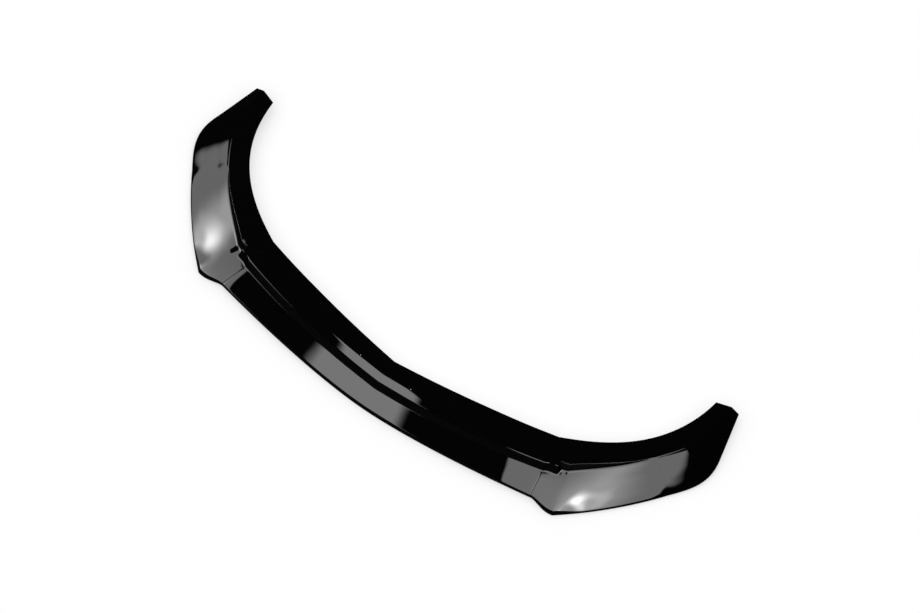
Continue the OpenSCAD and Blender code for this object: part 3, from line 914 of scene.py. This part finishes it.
class SPLITTER_OT_studio(bpy.types.Operator):
    """White page, three softboxes over the lip, and the camera"""

    bl_idname = "splitter.studio"
    bl_label = "Studio"

    def execute(self, context):
        studio = context.scene.lip_studio
        self.add_floor()
        self.set_world(context.scene)
        for name, corners, share, soft_u, soft_v, drop in PANELS:
            glow = softbox_glow(name, studio.light * share, soft_u, soft_v)
            self.add_panel(studio, name, corners, glow, drop)
        self.add_camera(context.scene, studio)
        context.scene.view_settings.view_transform = "Standard"
        return {"FINISHED"}

    @staticmethod
    def add_floor():
        bm = bmesh.new()
        bmesh.ops.create_grid(bm, x_segments=1, y_segments=1, size=FLOOR_HALF)
        for v in bm.verts:
            v.co.z = -FLOOR_DROP
        floor = finish_mesh("floor", bm, [page_white(1.0)])

    @staticmethod
    def set_world(scene):
        world = bpy.data.worlds.new("white page")
        world.use_nodes = True
        t = world.node_tree
        t.nodes.clear()
        path = node(t, "ShaderNodeLightPath")
        page = node(t, "ShaderNodeBackground", Color=(1, 1, 1, 1), Strength=1.0)
        # In the gloss the room is dark overhead and paler towards the horizon
        where = node(t, "ShaderNodeTexCoord")
        split = node(t, "ShaderNodeSeparateXYZ", {"Vector": where.outputs["Generated"]})
        low = node(
            t, "ShaderNodeMapRange", {"Value": split.outputs["Z"]},
            interpolation_type="SMOOTHSTEP", From_Min=0.55, From_Max=0.0, To_Max=ROOM_IN_GLOSS,
        )
        room = node(t, "ShaderNodeBackground", {"Strength": low.outputs["Result"]}, Color=(1, 1, 1, 1))
        both = blend(t, path.outputs["Is Camera Ray"], room, page)
        node(t, "ShaderNodeOutputWorld", {"Surface": both.outputs[0]})
        scene.world = world

    @staticmethod
    def add_panel(studio, name, corners, glow, drop):
        """A panel with the given corners in plan, in metres, facing down."""
        bm = bmesh.new()
        bmesh.ops.create_grid(bm, x_segments=1, y_segments=1, size=1.0, calc_uvs=False)
        uv = bm.loops.layers.uv.new("panel")
        order = {(-1, -1): 0, (1, -1): 1, (1, 1): 2, (-1, 1): 3}
        for f in bm.faces:
            for loop in f.loops:
                loop[uv].uv = ((loop.vert.co.x + 1) / 2, (loop.vert.co.y + 1) / 2)
        for v in bm.verts:
            x, y = corners[order[(round(v.co.x), round(v.co.y))]]
            v.co = (x, y, studio.light_height - drop)
        bmesh.ops.reverse_faces(bm, faces=bm.faces)
        panel = finish_mesh(name, bm, [glow])
        panel.visible_camera = False
        panel.visible_shadow = False

    @staticmethod
    def add_camera(scene, studio):
        a = math.radians(studio.azimuth)
        e = math.radians(studio.elevation)
        back = Vector((math.sin(a) * math.cos(e), -math.cos(a) * math.cos(e), math.sin(e)))
        cam = bpy.data.cameras.new("camera")
        cam.lens = studio.lens
        cam.sensor_width = 36.0
        cam.clip_end = 100.0
        ob = bpy.data.objects.new("camera", cam)
        ob.location = Vector((studio.aim_x, studio.aim_y, 0.0)) + back * studio.distance
        ob.rotation_euler = (math.radians(90 - studio.elevation), 0.0, a)
        scene.collection.objects.link(ob)
        scene.camera = ob


# Half the width of the floor, and how far it lies below the lip, in metres
FLOOR_HALF = 6.0
FLOOR_DROP = 0.0005

# Softboxes over the lip, and the lamps whose light shows through their cloth:
# name, corners in plan from front left round to rear left, share of the light,
# fades at the left and right ends and at the front and rear ones, and how far
# each hangs below the softboxes
PANELS = [
    ("panel_right", [(0.277, -0.7), (0.97, -0.7), (1.13, 0.35), (-0.02, 0.34)],
     0.95, (0.008, 0.03), (0.05, 0.01), 0.0),
    ("panel_middle", [(-0.645, -0.5), (-0.15, -0.5), (-0.345, 0.29), (-0.73, 0.29)],
     1.25, (0.14, 0.1), (0.05, 0.04), 0.0),
    ("panel_left", [(-2.06, -0.7), (-1.02, -0.7), (-1.02, 0.345), (-2.347, 0.54)],
     0.87, (0.03, 0.01), (0.05, 0.01), 0.0),
    ("bloom_right", [(0.10, -0.3), (1.0, -0.3), (0.95, 0.34), (0.05, 0.33)],
     2.2, (0.5, 0.5), (0.6, 0.03), 0.004),
    ("bloom_left", [(-1.9, -0.35), (-1.02, -0.35), (-1.02, 0.34), (-1.9, 0.42)],
     2.2, (0.65, 0.15), (0.4, 0.45), 0.004),
    ("lamp_right", [(0.343, 0.154), (0.679, -0.028), (0.776, 0.151), (0.441, 0.333)],
     9.5, (0.5, 0.5), (0.5, 0.5), 0.008),
    ("lamp_left", [(-1.76, 0.03), (-1.08, 0.055), (-1.09, 0.36), (-1.77, 0.335)],
     6.6, (0.5, 0.5), (0.5, 0.5), 0.008),
]

OPERATORS = (SPLITTER_OT_centre, SPLITTER_OT_sides, SPLITTER_OT_fasteners, SPLITTER_OT_studio)


class SPLITTER_PT_sidebar(bpy.types.Panel):
    """Lists the pieces of the lip and its studio"""

    bl_label = "Front Splitter Lip"
    bl_idname = "SPLITTER_PT_sidebar"
    bl_space_type = "VIEW_3D"
    bl_region_type = "UI"
    bl_category = "Splitter"

    def draw(self, context):
        for name, group in GROUPS.items():
            box = self.layout.box()
            for key in group.__annotations__:
                box.prop(getattr(context.scene, name), key)
        for op in OPERATORS:
            self.layout.operator(op.bl_idname)


CLASSES = (*GROUPS.values(), *OPERATORS, SPLITTER_PT_sidebar)


def register():
    for cls in CLASSES:
        bpy.utils.register_class(cls)
    for name, group in GROUPS.items():
        setattr(bpy.types.Scene, name, PointerProperty(type=group))


def unregister():
    for name in GROUPS:
        delattr(bpy.types.Scene, name)
    for cls in reversed(CLASSES):
        bpy.utils.unregister_class(cls)


def main():
    register()
    bpy.ops.splitter.centre()
    bpy.ops.splitter.sides()
    bpy.ops.splitter.fasteners()
    bpy.ops.splitter.studio()


if __name__ == "__main__":
    main()
